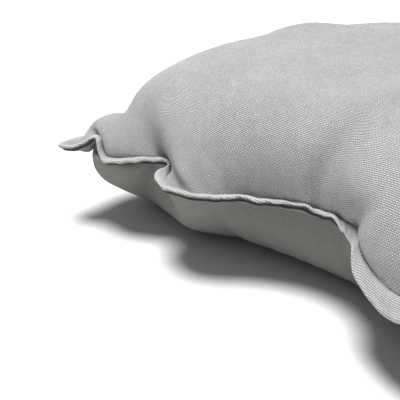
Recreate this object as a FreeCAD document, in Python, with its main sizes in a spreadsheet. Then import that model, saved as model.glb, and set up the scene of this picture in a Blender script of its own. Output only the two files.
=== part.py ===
import FreeCAD, Part
import os
import re

import Sketcher
from FreeCAD import Base

# Kneeling pad: a canvas cover with a stitched edge flange, a lined bag of wadding round a foam slab,
# and a coil zip that closes the far long side. The origin is the middle of the resting face, +X runs
# along the long side, +Y points to the zipped side and +Z is up. All sizes are in millimetres.

DRIVING_SIZES = {
    "pad_length": 430,
    "pad_width": 280,
    "pad_height": 90,
    "seam_height": 38,
    "corner_radius": 26,
    "body_radius": 40,
    "edge_round": 33,
    # the cover
    "canvas": 0.8,
    "flange_width": 6.5,
    "flange_layer": 1.6,
    "thread": 0.5,
    "stitch_inset": 0.6,
    # the filling
    "lining": 0.4,
    "lining_plan_gap": 5.8,
    "layer_gap": 0.2,
    "core_length": 350,
    "core_width": 200,
    "core_height": 30,
    "core_radius": 18,
    "core_edge": 6,
    # the zip
    "zip_length": 280,
    "zip_margin": 4,
    "flange_gap_margin": 22,
    "zip_window": 12,
    "tape_depth": 2.4,
    "tape_width": 12.5,
    "tape_thickness": 0.6,
    "tape_tail": 12,
    "tape_split": 2.4,
    "coil_gap": 1.0,
    "coil_width": 2.4,
    "coil_thickness": 1.8,
    "stop_length": 2.0,
    "stop_wall": 0.5,
    "slider_length": 11,
    "slider_plate": 1.0,
    "slider_clear": 0.35,
    "slider_wall": 0.9,
    "web_length": 4,
    "web_thickness": 0.36,
    "bridge_length": 6.4,
    "bridge_wall": 0.9,
    "bridge_width": 1.8,
    "bridge_hole": 1.9,
    "pull_bar": 1.2,
    "pull_arm": 1.3,
    "pull_window": 5.6,
    "pull_length": 24,
    "pull_tip_width": 6.2,
    "pull_thickness": 1.2,
    "pull_hole_radius": 1.4,
}

# Sizes that follow from the driving ones.
DERIVED_SIZES = {
    "body_length": "=pad_length - 2 * flange_width",
    "body_width": "=pad_width - 2 * flange_width",
    "back_wall": "=pad_width / 2 - flange_width",
    "tape_front": "=back_wall - tape_depth",
    "channel_half": "=coil_gap / 2 + coil_width + slider_clear",
    "slider_front": "=tape_front + coil_thickness + slider_clear + slider_plate",
    "slider_start": "=zip_length / 2 - slider_length / 2 - 0.5",
    "pull_axis": "=slider_front + slider_clear + pull_bar / 2",
}

doc = FreeCAD.newDocument("kneeling_pad")
sheet = doc.addObject("Spreadsheet::Sheet", "sizes")


def fill_sheet():
    """Write every size to the sheet, one row each, with its name as alias."""
    for row, (name, value) in enumerate({**DRIVING_SIZES, **DERIVED_SIZES}.items(), start=1):
        sheet.set(f"A{row}", name)
        sheet.set(f"B{row}", str(value))
        sheet.setAlias(f"B{row}", name)
    doc.recompute()


def linked(expression):
    """Point every size name in an expression at the sheet."""
    names = {**DRIVING_SIZES, **DERIVED_SIZES}
    return re.sub(r"[a-z_]+", lambda word: f"sizes.{word[0]}" if word[0] in names else word[0], expression)


def new_body(node):
    """Start a body whose label names its node."""
    body = doc.addObject("PartDesign::Body", node)
    body.Label = node
    body.Placement = FreeCAD.Placement()
    return body


def new_sketch(body, plane, name, offset="0"):
    """Attach a sketch to one of the body's origin planes, lifted along that plane's normal."""
    sketch = body.newObject("Sketcher::SketchObject", name)
    origin_plane = next(o for o in body.Origin.OriginFeatures if o.Role == plane)
    sketch.AttachmentSupport = [(origin_plane, "")]
    sketch.MapMode = "FlatFace"
    sketch.setExpression("AttachmentOffset.Base.z", linked(offset))
    return sketch


def constrain(sketch, values):
    """Add constraints in order; a pair (constraint, expression) is bound to the sheet."""
    for constraint, expression in values:
        index = sketch.addConstraint(constraint)
        if expression:
            sketch.setExpression(f"Constraints[{index}]", linked(expression))


def add_rounded_rectangle(sketch, length, width, radius):
    """Draw a rounded rectangle about the sketch's origin: four sides joined by tangent arcs."""
    first = sketch.GeometryCount
    half_x, half_y, arc = 60.0, 40.0, 10.0
    inner_x = half_x - arc
    inner_y = half_y - arc
    turn = 1.5707963
    sides = [
        ((-inner_x, -half_y), (inner_x, -half_y)),
        ((half_x, -inner_y), (half_x, inner_y)),
        ((inner_x, half_y), (-inner_x, half_y)),
        ((-half_x, inner_y), (-half_x, -inner_y)),
    ]
    centres = [(inner_x, -inner_y), (inner_x, inner_y), (-inner_x, inner_y), (-inner_x, -inner_y)]
    for number, ((start, end), centre) in enumerate(zip(sides, centres)):
        sketch.addGeometry(Part.LineSegment(Base.Vector(*start, 0), Base.Vector(*end, 0)), False)
        circle = Part.Circle(Base.Vector(*centre, 0), Base.Vector(0, 0, 1), arc)
        opening = turn * (number - 1)
        sketch.addGeometry(Part.ArcOfCircle(circle, opening, opening + turn), False)
    rules = []
    for step in range(8):
        rules.append((Sketcher.Constraint("Tangent", first + step, 2, first + (step + 1) % 8, 1), None))
    rules.append((Sketcher.Constraint("Horizontal", first), None))
    rules.append((Sketcher.Constraint("Vertical", first + 2), None))
    rules.append((Sketcher.Constraint("Horizontal", first + 4), None))
    rules.append((Sketcher.Constraint("Vertical", first + 6), None))
    for corner in (3, 5, 7):
        rules.append((Sketcher.Constraint("Equal", first + 1, first + corner), None))
    rules.append((Sketcher.Constraint("Symmetric", first + 1, 3, first + 5, 3, -1, 1), None))
    rules.append((Sketcher.Constraint("DistanceX", first + 6, 1, first + 2, 1, 2 * half_x), length))
    rules.append((Sketcher.Constraint("DistanceY", first, 1, first + 4, 1, 2 * half_y), width))
    rules.append((Sketcher.Constraint("Radius", first + 1, arc), radius))
    constrain(sketch, rules)


def add_rectangle(sketch, left, right, low, high):
    """Draw a rectangle whose sides stand at four signed distances from the sketch's axes."""
    first = sketch.GeometryCount
    corners = [Base.Vector(-2, -2, 0), Base.Vector(2, -2, 0), Base.Vector(2, 2, 0), Base.Vector(-2, 2, 0)]
    for number in range(4):
        sketch.addGeometry(Part.LineSegment(corners[number], corners[(number + 1) % 4]), False)
    rules = []
    for number in range(4):
        following = first + (number + 1) % 4
        rules.append((Sketcher.Constraint("Coincident", first + number, 2, following, 1), None))
    for number in range(4):
        kind = "Horizontal" if number % 2 == 0 else "Vertical"
        rules.append((Sketcher.Constraint(kind, first + number), None))
    rules.append((Sketcher.Constraint("DistanceX", -1, 1, first, 1, -2.0), left))
    rules.append((Sketcher.Constraint("DistanceX", -1, 1, first, 2, 2.0), right))
    rules.append((Sketcher.Constraint("DistanceY", -1, 1, first, 1, -2.0), low))
    rules.append((Sketcher.Constraint("DistanceY", -1, 1, first + 2, 1, 2.0), high))
    constrain(sketch, rules)


def add_circle(sketch, across, up, radius):
    """Draw a circle at two signed distances from the sketch's axes."""
    sketch.addGeometry(Part.Circle(Base.Vector(5, 5, 0), Base.Vector(0, 0, 1), 1.0), False)
    constrain(sketch, [
        (Sketcher.Constraint("DistanceX", -1, 1, 0, 3, 5.0), across),
        (Sketcher.Constraint("DistanceY", -1, 1, 0, 3, 5.0), up),
        (Sketcher.Constraint("Radius", 0, 1.0), radius),
    ])


def pad(body, sketch, length, name, backwards=False, cut=False):
    """Extrude a sketch by a length, to add material or to cut it."""
    feature = body.newObject("PartDesign::Pocket" if cut else "PartDesign::Pad", name)
    feature.Profile = sketch
    feature.setExpression("Length", linked(length))
    feature.Reversed = backwards
    return feature


def add_block(body, name, left, right, low, high, front, depth, cut=False):
    """Add or cut a block: X and Z sides as distances, and a front face at Y that runs towards -Y by depth."""
    sketch = new_sketch(body, "XZ_Plane", f"{name}_outline", f"-1 * ({front})")
    add_rectangle(sketch, left, right, low, high)
    pad(body, sketch, depth, name, backwards=cut, cut=cut)


def add_half_dome(body, side, plan_offset, height_offset):
    """Raise half a pillow from the seam plane, up (side 1) or down (side -1), and round its far rim."""
    outline = new_sketch(body, "XY_Plane", "dome_outline", "seam_height")
    add_rounded_rectangle(
        outline, f"body_length - 2 * ( {plan_offset} )", f"body_width - 2 * ( {plan_offset} )",
        f"body_radius - ( {plan_offset} )",
    )
    rise = "pad_height - seam_height" if side > 0 else "seam_height"
    block = pad(body, outline, f"{rise} - ( {height_offset} )", "dome_block", backwards=side < 0)
    doc.recompute()
    far_level = max((edge.BoundBox.Center.z for edge in block.Shape.Edges), key=lambda z: side * z)
    dome = body.newObject("PartDesign::Fillet", "dome")
    dome.Base = (block, edges_at(block, far_level))
    dome.setExpression("Radius", linked(f"edge_round - ( {plan_offset} )"))
    doc.recompute()
    return dome


def edges_at(feature, level):
    """Names of a feature's flat edges at one height."""
    names = []
    for number, edge in enumerate(feature.Shape.Edges, start=1):
        box = edge.BoundBox
        if box.ZLength < 0.001 and abs(box.ZMin - level) < 0.001:
            names.append(f"Edge{number}")
    return names


def hollow(body, dome, wall):
    """Turn a dome into a sheet of one wall thickness, open at the seam plane."""
    seam_level = sheet.seam_height
    for number, face in enumerate(dome.Shape.Faces, start=1):
        box = face.BoundBox
        if box.ZLength < 0.001 and abs(box.ZMin - seam_level) < 0.001:
            seam_face = f"Face{number}"
    shell = body.newObject("PartDesign::Thickness", "sheet")
    shell.Base = (dome, [seam_face])
    shell.setExpression("Value", linked(wall))
    shell.Reversed = True
    doc.recompute()


def add_ring(body, name, side, base_height, thickness, outer, inner):
    """Add a flat ring; outer and inner are each an inset from the pad's plan and a corner radius."""
    sketch = new_sketch(body, "XY_Plane", f"{name}_outline", base_height)
    for inset, radius in (outer, inner):
        add_rounded_rectangle(sketch, f"pad_length - 2 * ( {inset} )", f"pad_width - 2 * ( {inset} )", radius)
    pad(body, sketch, thickness, name, backwards=side < 0)


def cut_zip_window(body, side):
    """Open one half of the window that shows the zip in the far side."""
    low, high = zip_band(side, "-0.01", "zip_window / 2")
    half = "( zip_length / 2 + zip_margin )"
    add_block(body, "zip_window_cut", f"-1 * {half}", half, low, high, "back_wall + 1", "4", cut=True)


def cut_flange_gap(body, side):
    """Leave the flange out along the zip, with room for the pull at both ends of its travel."""
    low, high = zip_band(side, "-0.01", "zip_window / 2")
    half = "( zip_length / 2 + flange_gap_margin )"
    add_block(
        body, "flange_gap_cut", f"-1 * {half}", half, low, high,
        "pad_width / 2 + 1", "flange_width + 1", cut=True,
    )


def build_cover(node, side):
    """Canvas half with its folded flange layer, open where the zip shows."""
    body = new_body(node)
    dome = add_half_dome(body, side, "0", "0")
    hollow(body, dome, "canvas")
    outer = ("0", "corner_radius")
    inner = ("flange_width + canvas / 2", "body_radius - canvas / 2")
    add_ring(body, "flange", side, "seam_height", "flange_layer", outer, inner)
    doc.recompute()
    cut_flange_gap(body, side)
    cut_zip_window(body, side)


def build_flange_thread(node, side):
    """Topstitching thread that lies on one face of the flange, beside the cover's wall."""
    body = new_body(node)
    outer = ("flange_width - stitch_inset - thread", "body_radius + stitch_inset + thread")
    inner = ("flange_width - stitch_inset", "body_radius + stitch_inset")
    base = f"seam_height + {side} * flange_layer"
    add_ring(body, "thread_ring", side, base, "thread", outer, inner)
    doc.recompute()
    cut_flange_gap(body, side)


def build_liner(node, side):
    """Half of the inner bag that holds the filling."""
    body = new_body(node)
    dome = add_half_dome(body, side, "lining_plan_gap", "canvas + layer_gap")
    hollow(body, dome, "lining")


def build_liner_thread(node):
    """Closing thread round the inner bag, on its seam line."""
    body = new_body(node)
    gap = "lining_plan_gap - 0.05"
    outer = (f"flange_width + {gap} - thread", f"body_radius - {gap} + thread")
    inner = (f"flange_width + {gap}", f"body_radius - {gap}")
    add_ring(body, "closing_thread", 1, "seam_height - thread / 2", "thread", outer, inner)


def build_wadding(node, side):
    """Wadding dome over or under the foam slab, hollowed for half of the slab."""
    body = new_body(node)
    add_half_dome(body, side, "lining_plan_gap + lining + layer_gap", "canvas + lining + 2 * layer_gap")
    hollow_outline = new_sketch(body, "XY_Plane", "slab_hollow_outline", "seam_height")
    gap = "2 * layer_gap"
    add_rounded_rectangle(
        hollow_outline, f"core_length + {gap}", f"core_width + {gap}", "core_radius + layer_gap"
    )
    pad(body, hollow_outline, "core_height / 2 + layer_gap", "slab_hollow", backwards=side > 0, cut=True)


def build_foam_core(node):
    """Foam slab with eased edges, centred on the seam plane."""
    body = new_body(node)
    sketch = new_sketch(body, "XY_Plane", "slab_outline", "seam_height - core_height / 2")
    add_rounded_rectangle(sketch, "core_length", "core_width", "core_radius")
    slab = pad(body, sketch, "core_height", "slab")
    doc.recompute()
    half = sheet.core_height / 2
    rims = edges_at(slab, sheet.seam_height - half) + edges_at(slab, sheet.seam_height + half)
    eased = body.newObject("PartDesign::Fillet", "eased_edges")
    eased.Base = (slab, rims)
    eased.setExpression("Radius", linked("core_edge"))


def build_zip_half(tape_node, coil_node, thread_node, side):
    """One side of the zip: its tape, its coil row and the thread that holds the tape to the cover."""
    tape_half = "( zip_length / 2 + tape_tail )"
    tape = new_body(tape_node)
    near, far = zip_band(side, "tape_split / 2", "tape_split / 2 + tape_width")
    add_block(tape, "tape", f"-1 * {tape_half}", tape_half, near, far, "tape_front", "tape_thickness")

    coil = new_body(coil_node)
    near, far = zip_band(side, "coil_gap / 2", "coil_gap / 2 + coil_width")
    add_block(
        coil, "coil_row", "-1 * zip_length / 2", "zip_length / 2", near, far,
        "tape_front + coil_thickness", "coil_thickness - 0.02",
    )

    thread = new_body(thread_node)
    near, far = zip_band(side, "zip_window / 2 + 2", "zip_window / 2 + 2 + thread")
    add_block(
        thread, "thread_line", "-1 * zip_length / 2", "zip_length / 2", near, far,
        "back_wall + thread", "thread",
    )


def zip_band(side, near, far):
    """Low and high Z of a band beside the zip's centre line, above it (side 1) or below it (side -1)."""
    if side > 0:
        return f"seam_height + {near}", f"seam_height + {far}"
    return f"seam_height - ( {far} )", f"seam_height - ( {near} )"


def add_clamp(body, sides, left, right, near, far):
    """A clamp block between two heights, slotted for the zip tape of each listed side."""
    reach = "coil_gap / 2 + coil_width + stop_wall"
    front = "tape_front + coil_thickness + stop_wall"
    depth = "coil_thickness + tape_thickness + 2 * stop_wall"
    add_block(body, "clamp", left, right, near, far, front, depth)
    for side in sides:
        low, high = zip_band(side, "tape_split / 2 - 0.05", f"{reach} + 1")
        add_block(
            body, f"tape_slot_{side + 1}", f"{left} - 1", f"{right} + 1", low, high,
            "tape_front + 0.02", "tape_thickness + 0.04", cut=True,
        )


def build_zip_stops(top_node, bottom_node):
    """Clamps past the ends of the coil rows: one on each tape at the top, one across both at the bottom."""
    reach = "coil_gap / 2 + coil_width + stop_wall"
    near_end = "zip_length / 2 + 0.1"
    far_end = f"{near_end} + stop_length"
    solids = []
    for number, side in enumerate((1, -1), start=1):
        body = new_body(f"{top_node}_{number}")
        near, far = zip_band(side, "coil_gap / 2", reach)
        add_clamp(body, (side,), near_end, far_end, near, far)
        solids.append(body)
    group = doc.addObject("Part::Compound", top_node)
    group.Label = top_node
    group.Links = solids

    body = new_body(bottom_node)
    near, far = zip_band(1, f"-1 * ( {reach} )", reach)
    add_clamp(body, (1, -1), f"-1 * ( {far_end} )", f"-1 * ( {near_end} )", near, far)


def build_zip_slider(node):
    """Slider: outer plate with side walls, inner plate, the wedge web between them and the pull's bridge."""
    body = new_body(node)
    left = "slider_start - slider_length / 2"
    right = "slider_start + slider_length / 2"
    outer_half = "( channel_half + slider_wall )"
    low = f"seam_height - {outer_half}"
    high = f"seam_height + {outer_half}"
    add_block(body, "outer_plate", left, right, low, high, "slider_front", "slider_plate")
    web_half = "web_thickness / 2"
    add_block(
        body, "wedge_web", f"{right} - web_length", right,
        f"seam_height - {web_half}", f"seam_height + {web_half}",
        "slider_front - slider_plate / 2",
        "coil_thickness + tape_thickness + 2 * slider_clear + slider_plate",
    )
    add_block(
        body, "inner_plate", left, right, low, high,
        "tape_front - tape_thickness - slider_clear", "slider_plate",
    )
    for side, name in ((1, "upper_wall"), (-1, "lower_wall")):
        near, far = zip_band(side, "channel_half", "channel_half + slider_wall")
        add_block(body, name, left, right, near, far, "slider_front", "slider_plate + coil_thickness")
    bridge_half = "bridge_length / 2"
    add_block(
        body, "bridge", f"slider_start - {bridge_half}", f"slider_start + {bridge_half}",
        "seam_height - bridge_width / 2", "seam_height + bridge_width / 2",
        "slider_front + bridge_hole + bridge_wall", "bridge_hole + bridge_wall + slider_plate / 2",
    )
    hole_half = "( bridge_length / 2 - bridge_wall )"
    add_block(
        body, "bridge_hole_cut", f"slider_start - {hole_half}", f"slider_start + {hole_half}",
        "seam_height - bridge_width", "seam_height + bridge_width",
        "slider_front + bridge_hole", "bridge_hole", cut=True,
    )


def build_zip_pull(node):
    """Pull: a round cross bar through the bridge, two arms and a flat tab with a hole, along the zip."""
    body = new_body(node)
    half_width = "pull_tip_width / 2"
    low, high = f"seam_height - {half_width}", f"seam_height + {half_width}"
    start = "slider_start - pull_length"
    add_block(
        body, "tab", start, "slider_start", low, high, "pull_axis + pull_thickness / 2", "pull_thickness"
    )
    doc.recompute()
    inner_half = f"( {half_width} - pull_arm )"
    add_block(
        body, "bridge_window", "slider_start - pull_window", "slider_start + 1",
        f"seam_height - {inner_half}", f"seam_height + {inner_half}",
        "pull_axis + pull_thickness", "2 * pull_thickness", cut=True,
    )
    doc.recompute()
    bar = new_sketch(body, "XY_Plane", "cross_bar_outline", low)
    add_circle(bar, "slider_start", "pull_axis", "pull_bar / 2")
    pad(body, bar, "pull_tip_width", "cross_bar")
    doc.recompute()
    hole = new_sketch(body, "XZ_Plane", "tip_hole_outline", "-1 * ( pull_axis + pull_thickness )")
    add_circle(hole, f"{start} + 2.4 * pull_hole_radius", "seam_height", "pull_hole_radius")
    pad(body, hole, "2 * pull_thickness", "tip_hole", backwards=True, cut=True)


fill_sheet()
build_cover("upper_cover", 1)
build_cover("lower_cover", -1)
build_flange_thread("flange_needle_thread", 1)
build_flange_thread("flange_bobbin_thread", -1)
build_liner("liner_upper", 1)
build_liner("liner_lower", -1)
build_liner_thread("liner_seam_thread")
build_wadding("wadding_upper", 1)
build_wadding("wadding_lower", -1)
build_foam_core("foam_core")
build_zip_half("zip_tape_upper", "zip_coil_upper", "zip_thread_upper", 1)
build_zip_half("zip_tape_lower", "zip_coil_lower", "zip_thread_lower", -1)
build_zip_stops("zip_top_stops", "zip_bottom_stop")
build_zip_slider("zip_slider")
build_zip_pull("zip_pull")
doc.recompute()

NODES = (
    "upper_cover", "lower_cover", "flange_needle_thread", "flange_bobbin_thread",
    "liner_upper", "liner_lower", "liner_seam_thread", "wadding_upper", "wadding_lower", "foam_core",
    "zip_tape_upper", "zip_tape_lower", "zip_coil_upper", "zip_coil_lower",
    "zip_thread_upper", "zip_thread_lower", "zip_top_stops", "zip_bottom_stop",
    "zip_slider", "zip_pull",
)

for item in doc.Objects:
    if "Invalid" in item.State or "Error" in item.State:
        raise RuntimeError(f"{item.Label} did not build: {item.State}")

os.makedirs("parts", exist_ok=True)
for node in NODES:
    shape = doc.getObjectsByLabel(node)[0].Shape
    if shape.isNull() or not shape.isValid() or not shape.Solids:
        raise RuntimeError(f"{node} has no valid solid")
    shape.exportStep(f"parts/{node}.step")
    box = shape.BoundBox
    print(f"{node}: {len(shape.Solids)} solid(s), {shape.Volume:.1f} mm3")
    print(f"  x {box.XMin:.2f}..{box.XMax:.2f}, y {box.YMin:.2f}..{box.YMax:.2f}, z {box.ZMin:.2f}..{box.ZMax:.2f}")
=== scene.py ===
"""Looks of the kneeling pad: a plump zipped canvas cover with a stitched edge, over a filled inner bag."""
import math

import bpy
import numpy as np
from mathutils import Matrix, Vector


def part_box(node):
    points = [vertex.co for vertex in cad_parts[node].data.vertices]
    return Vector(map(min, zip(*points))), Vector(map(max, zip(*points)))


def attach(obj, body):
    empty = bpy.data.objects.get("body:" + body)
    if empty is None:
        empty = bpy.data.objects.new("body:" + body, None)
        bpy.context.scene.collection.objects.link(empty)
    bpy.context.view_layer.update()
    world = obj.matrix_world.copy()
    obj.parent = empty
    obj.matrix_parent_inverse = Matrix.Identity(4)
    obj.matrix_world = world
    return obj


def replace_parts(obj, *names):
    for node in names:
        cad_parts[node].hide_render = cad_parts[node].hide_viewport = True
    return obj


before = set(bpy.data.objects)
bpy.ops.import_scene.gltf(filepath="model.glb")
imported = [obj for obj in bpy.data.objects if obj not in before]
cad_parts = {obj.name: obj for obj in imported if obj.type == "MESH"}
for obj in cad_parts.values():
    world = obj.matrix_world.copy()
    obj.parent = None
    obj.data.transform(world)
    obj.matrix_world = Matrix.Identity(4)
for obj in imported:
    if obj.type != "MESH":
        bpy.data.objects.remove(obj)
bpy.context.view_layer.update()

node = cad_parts

# ---------------------------------------------------------------- cloth of the two panels
# Half length and width of the pad's outline, seam height and flange width, in millimetres.
HALF_L, HALF_W, SEAM_Z, FLANGE = 215.0, 140.0, 38.0, 6.5
# Half length of the zip's opening, half its height, and where the flange ends beside it.
ZIP_HALF, SLOT_HALF, FLANGE_GAP = 144.0, 6.0, 162.0
# Where the seam's two edges part at a zip end: how far beyond the opening it starts, and over what length.
PART_START, PART_LENGTH = 8, 10
# Cloth cells along and across the pad in the first pass of the simulation.
CELLS = (74, 45)
# Passes: how much finer the grid gets, rounds, pressure, bending stiffness, and share of the rounds in which
# the stitch line moves to its sewn place.
PASSES = ((1, 1200, 0.02, 0.1, 0.6), (3, 400, 0.004, 0.15, 0.15))
# Shearing stiffness, share of the speed kept in a round, rounds between pressure updates, and floor clearance.
SHEAR, DRAG, PUSH_EVERY, CLEARANCE = 0.35, 0.92, 4, 0.4
# Height of the dome and of the random unevenness that the panels start with.
START_DOME, START_NOISE = 10, 0.3

# Usual distance of the stitch line from the outline, and its distance beside the zip.
INSET, ZIP_INSET = 8, 6.5
# Stitch line along each side, as (distance along the side, distance in from the outline, lift).
FRONT_START, FRONT_END, BACK_START = (16, 9, 0), (422, 8, 0), (9, 9, 0)
FRONT = [
    (24, 13, 4), (28, 16, 8), (33, 15, 1), (43, 14, 0), (52, 18, 2), (60, 23, 3), (69, 31, 1),
    (78, 19, 0), (85, 14, 0), (96, 12, 0), (105, 14, 0), (120, 27, 0), (143, 38, 0), (162, 41, 1),
    (178, 37, 3), (190, 25, 0), (206, 16, -3), (222, 14, -2), (239, 19, 0), (256, 28, 1), (275, 31, 1),
    (298, 21, 0), (320, 10, 0), (338, 8, 0), (354, 11, 0), (370, 22, 1), (381, 24, 2), (392, 14, 0),
    (405, 9, -1), (414, 10, 0),
]
LEFT = [
    (26, 13, 0), (42, 11, 0), (58, 14, 0), (74, 15, 0), (90, 11, 0), (110, 8, 0), (132, 15, 1),
    (146, 17, 1), (162, 11, 0), (182, 8, 0), (200, 12, 0), (216, 21, 2), (229, 13, 0), (246, 8, 0),
    (258, 9, 0),
]
RIGHT = [
    (22, 9, 0), (42, 9, 0), (60, 19, 1), (76, 13, 0), (98, 8, 0), (120, 13, 0), (140, 19, 0),
    (160, 12, 0), (182, 8, 0), (202, 13, 0), (217, 21, 2), (231, 12, 0), (246, 9, 0), (258, 9, 0),
]
BACK_END = [(20, 9, 0), (31, 8, 0), (41, 13, 0), (48, 15, 2), (56, 9, 0)]
# Stitch line where the zip begins, as (distance past the zip's end, distance in), and where it is settled.
ZIP_START = [(-8, 9.0), (2, 7.0), (22, ZIP_INSET)]
ZIP_SETTLED = 60
# How much of the gathering is in the cut edge already, how much deeper the back's gathers are, and the width
# of the band at the edge in which the cloth takes the seam's own length.
CUT_CRIMP, BACK_AMP, EDGE_BAND = 0.5, 2.4, 35.0
# Places where the filling rounds a fold out, as (x, y, radius, rounds, panel), and the rows kept at the rim.
CALM = [
    (0, 0, 400, 4, 0), (0, 0, 400, 4, 1), (-152, -90, 35, 85, 0), (-188, -112, 13, 6, 0),
    (-40, -60, 42, 40, 0), (-42, -102, 16, 8, 0), (-150, -92, 26, 24, 1),
]
CALM_RIM = 5
# Extra cloth in each panel along x and y, and fuller places as (x, y, radius, amount).
GROWTH = ((1.10, 1.18), (1.04, 1.09))
FULLER = (
    [(-184, -92, 30, 0.17), (-190, -114, 20, 0.16), (-172, -20, 55, 0.12), (-134, -104, 24, -0.07),
     (0, -118, 30, 0.05), (190, -118, 30, 0.12), (188, 112, 30, 0.12), (-188, 112, 30, 0.12)],
    [(-176, -100, 42, 0.33), (190, -118, 30, 0.06), (188, 112, 30, 0.06), (-188, 112, 30, 0.06)],
)
# Height where the filling stops pushing, its fall towards the sides, and the band where the push fades.
TOP_Z, TOP_FALL, TOP_FADE = 87.0, 1.0, 12.0
SIDES = ("front", "back", "left", "right")


def smoothstep(t):
    """Ease a share between 0 and 1."""
    return t * t * (3 - 2 * t)


def parting(x):
    """How far the seam's two edges stand apart at x: 0 is closed, and 1 is the full opening of the zip."""
    return smoothstep(np.clip((ZIP_HALF + PART_START - np.abs(x)) / PART_LENGTH, 0, 1))


def smooth_path(points):
    """Dense points of a centripetal Catmull-Rom curve through the points, and the distance along it."""
    p = np.array(points, float)
    p = np.vstack([2 * p[0] - p[1], p, 2 * p[-1] - p[-2]])
    out = []
    for k in range(1, len(p) - 2):
        p0, p1, p2, p3 = p[k - 1:k + 3]
        t1 = np.linalg.norm(p1 - p0) ** 0.5
        t2 = t1 + np.linalg.norm(p2 - p1) ** 0.5
        t3 = t2 + np.linalg.norm(p3 - p2) ** 0.5
        t = np.linspace(t1, t2, 24, endpoint=False)[:, None]
        a1 = (t1 - t) / t1 * p0 + t / t1 * p1
        a2 = (t2 - t) / (t2 - t1) * p1 + (t - t1) / (t2 - t1) * p2
        a3 = (t3 - t) / (t3 - t2) * p2 + (t - t2) / (t3 - t2) * p3
        b1 = (t2 - t) / t2 * a1 + t / t2 * a2
        b2 = (t3 - t) / (t3 - t1) * a2 + (t - t1) / (t3 - t1) * a3
        out.append((t2 - t) / (t2 - t1) * b1 + (t - t1) / (t2 - t1) * b2)
    dense = np.vstack(out + [p[-2][None]])
    step = np.linalg.norm(np.diff(dense, axis=0), axis=1)
    return dense, np.concatenate([[0], np.cumsum(step)])


def along_path(points, fractions):
    """Points at the given fractions of a smooth path's length."""
    dense, s = smooth_path(points)
    at = np.asarray(fractions) * s[-1]
    return np.stack([np.interp(at, s, dense[:, k]) for k in range(3)], 1)


def side_points(side, crimp):
    """Control points of one side's stitch line: crimp 1 is the sewn pad, and less is the cut cloth."""
    length = 2 * (HALF_L if side in ("front", "back") else HALF_W)
    corner = (length - BACK_START[1], BACK_START[0], 0)
    if side == "front":
        points = [FRONT_START, *FRONT, FRONT_END]
    elif side == "left":
        points = [(FRONT_START[1], FRONT_START[0], 0), *LEFT, corner]
    elif side == "right":
        points = [(FRONT_END[1], 2 * HALF_L - FRONT_END[0], 0), *RIGHT, corner]
    else:
        end = HALF_L - ZIP_HALF
        near = [(a, INSET + (i - INSET) * BACK_AMP, z * BACK_AMP) for a, i, z in BACK_END]
        near += [(end + past, inset, 0) for past, inset in ZIP_START]
        near.append((HALF_L - ZIP_SETTLED, ZIP_INSET, 0))
        far = [(length - a, i, z) for a, i, z in near[::-1]]
        points = [BACK_START, *near, (HALF_L, ZIP_INSET, 0), *far, (length - BACK_START[0], BACK_START[1], 0)]
    inner = [(a, INSET + (i - INSET) * crimp, z * crimp) for a, i, z in points[1:-1]]
    points = [points[0], *inner, points[-1]]
    place = {
        "front": lambda a, i, z: (a - HALF_L, i - HALF_W, SEAM_Z + z),
        "back": lambda a, i, z: (a - HALF_L, HALF_W - i, SEAM_Z + z),
        "left": lambda a, i, z: (i - HALF_L, a - HALF_W, SEAM_Z + z),
        "right": lambda a, i, z: (HALF_L - i, a - HALF_W, SEAM_Z + z),
    }[side]
    return [place(*p) for p in points]


def cut_panel(ni, nj):
    """Flat cut of a panel before any extra cloth: a Coons patch between its four cut edges."""
    u, v = np.linspace(0, 1, ni), np.linspace(0, 1, nj)
    edge = {
        side: along_path(side_points(side, CUT_CRIMP), u if side in ("front", "back") else v)[:, :2]
        for side in SIDES
    }
    uu, vv = u[:, None, None], v[None, :, None]
    flat = (1 - vv) * edge["front"][:, None] + vv * edge["back"][:, None]
    flat = flat + (1 - uu) * edge["left"][None] + uu * edge["right"][None]
    flat -= (1 - uu) * ((1 - vv) * edge["front"][0] + vv * edge["back"][0])
    flat -= uu * ((1 - vv) * edge["front"][-1] + vv * edge["back"][-1])
    return flat


def growth(flat, layer):
    """Scale of the cut along x and y at each point. Each edge has the length that its seam takes up."""
    gather = {}
    for side in SIDES:
        sewn, cut = (smooth_path(side_points(side, crimp))[1][-1] for crimp in (1.0, CUT_CRIMP))
        gather[side] = sewn / cut
    g = np.ones(flat.shape) * GROWTH[layer]
    for axis, low, high, half in ((0, "front", "back", HALF_W), (1, "left", "right", HALF_L)):
        across = flat[..., 1 - axis]
        for side, distance in ((low, half + across), (high, half - across)):
            near = np.exp(-((np.maximum(distance - INSET, 0) / EDGE_BAND) ** 2))
            g[..., axis] += (gather[side] - GROWTH[layer][axis]) * near
    for x, y, radius, amount in FULLER[layer]:
        far = ((flat[..., 0] - x) ** 2 + (flat[..., 1] - y) ** 2) / radius**2
        g += amount * np.exp(-far)[..., None]
    return g


def stitch_targets(ni, nj):
    """Sewn place of the panels' edge points. Along the zip the two edges stand apart."""
    u, v = np.linspace(0, 1, ni), np.linspace(0, 1, nj)
    target = np.zeros((2, ni, nj, 3), np.float32)
    target[:, :, 0] = along_path(side_points("front", 1.0), u)
    target[:, 0, :] = along_path(side_points("left", 1.0), v)
    target[:, -1, :] = along_path(side_points("right", 1.0), v)
    back = along_path(side_points("back", 1.0), u)
    for layer, sign in ((0, 1), (1, -1)):
        target[layer, :, -1] = back
        target[layer, :, -1, 2] += sign * SLOT_HALF * parting(back[:, 0])
    return target


def strided(n, d):
    """Pairs of slices (k, k + d) along an axis of n points, in groups that use no point twice."""
    for start in range(2 * d):
        count = len(range(start, n - d, 2 * d))
        if count:
            stop = start + 2 * d * (count - 1) + 1
            yield slice(start, stop, 2 * d), slice(start + d, stop + d, 2 * d)


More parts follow.
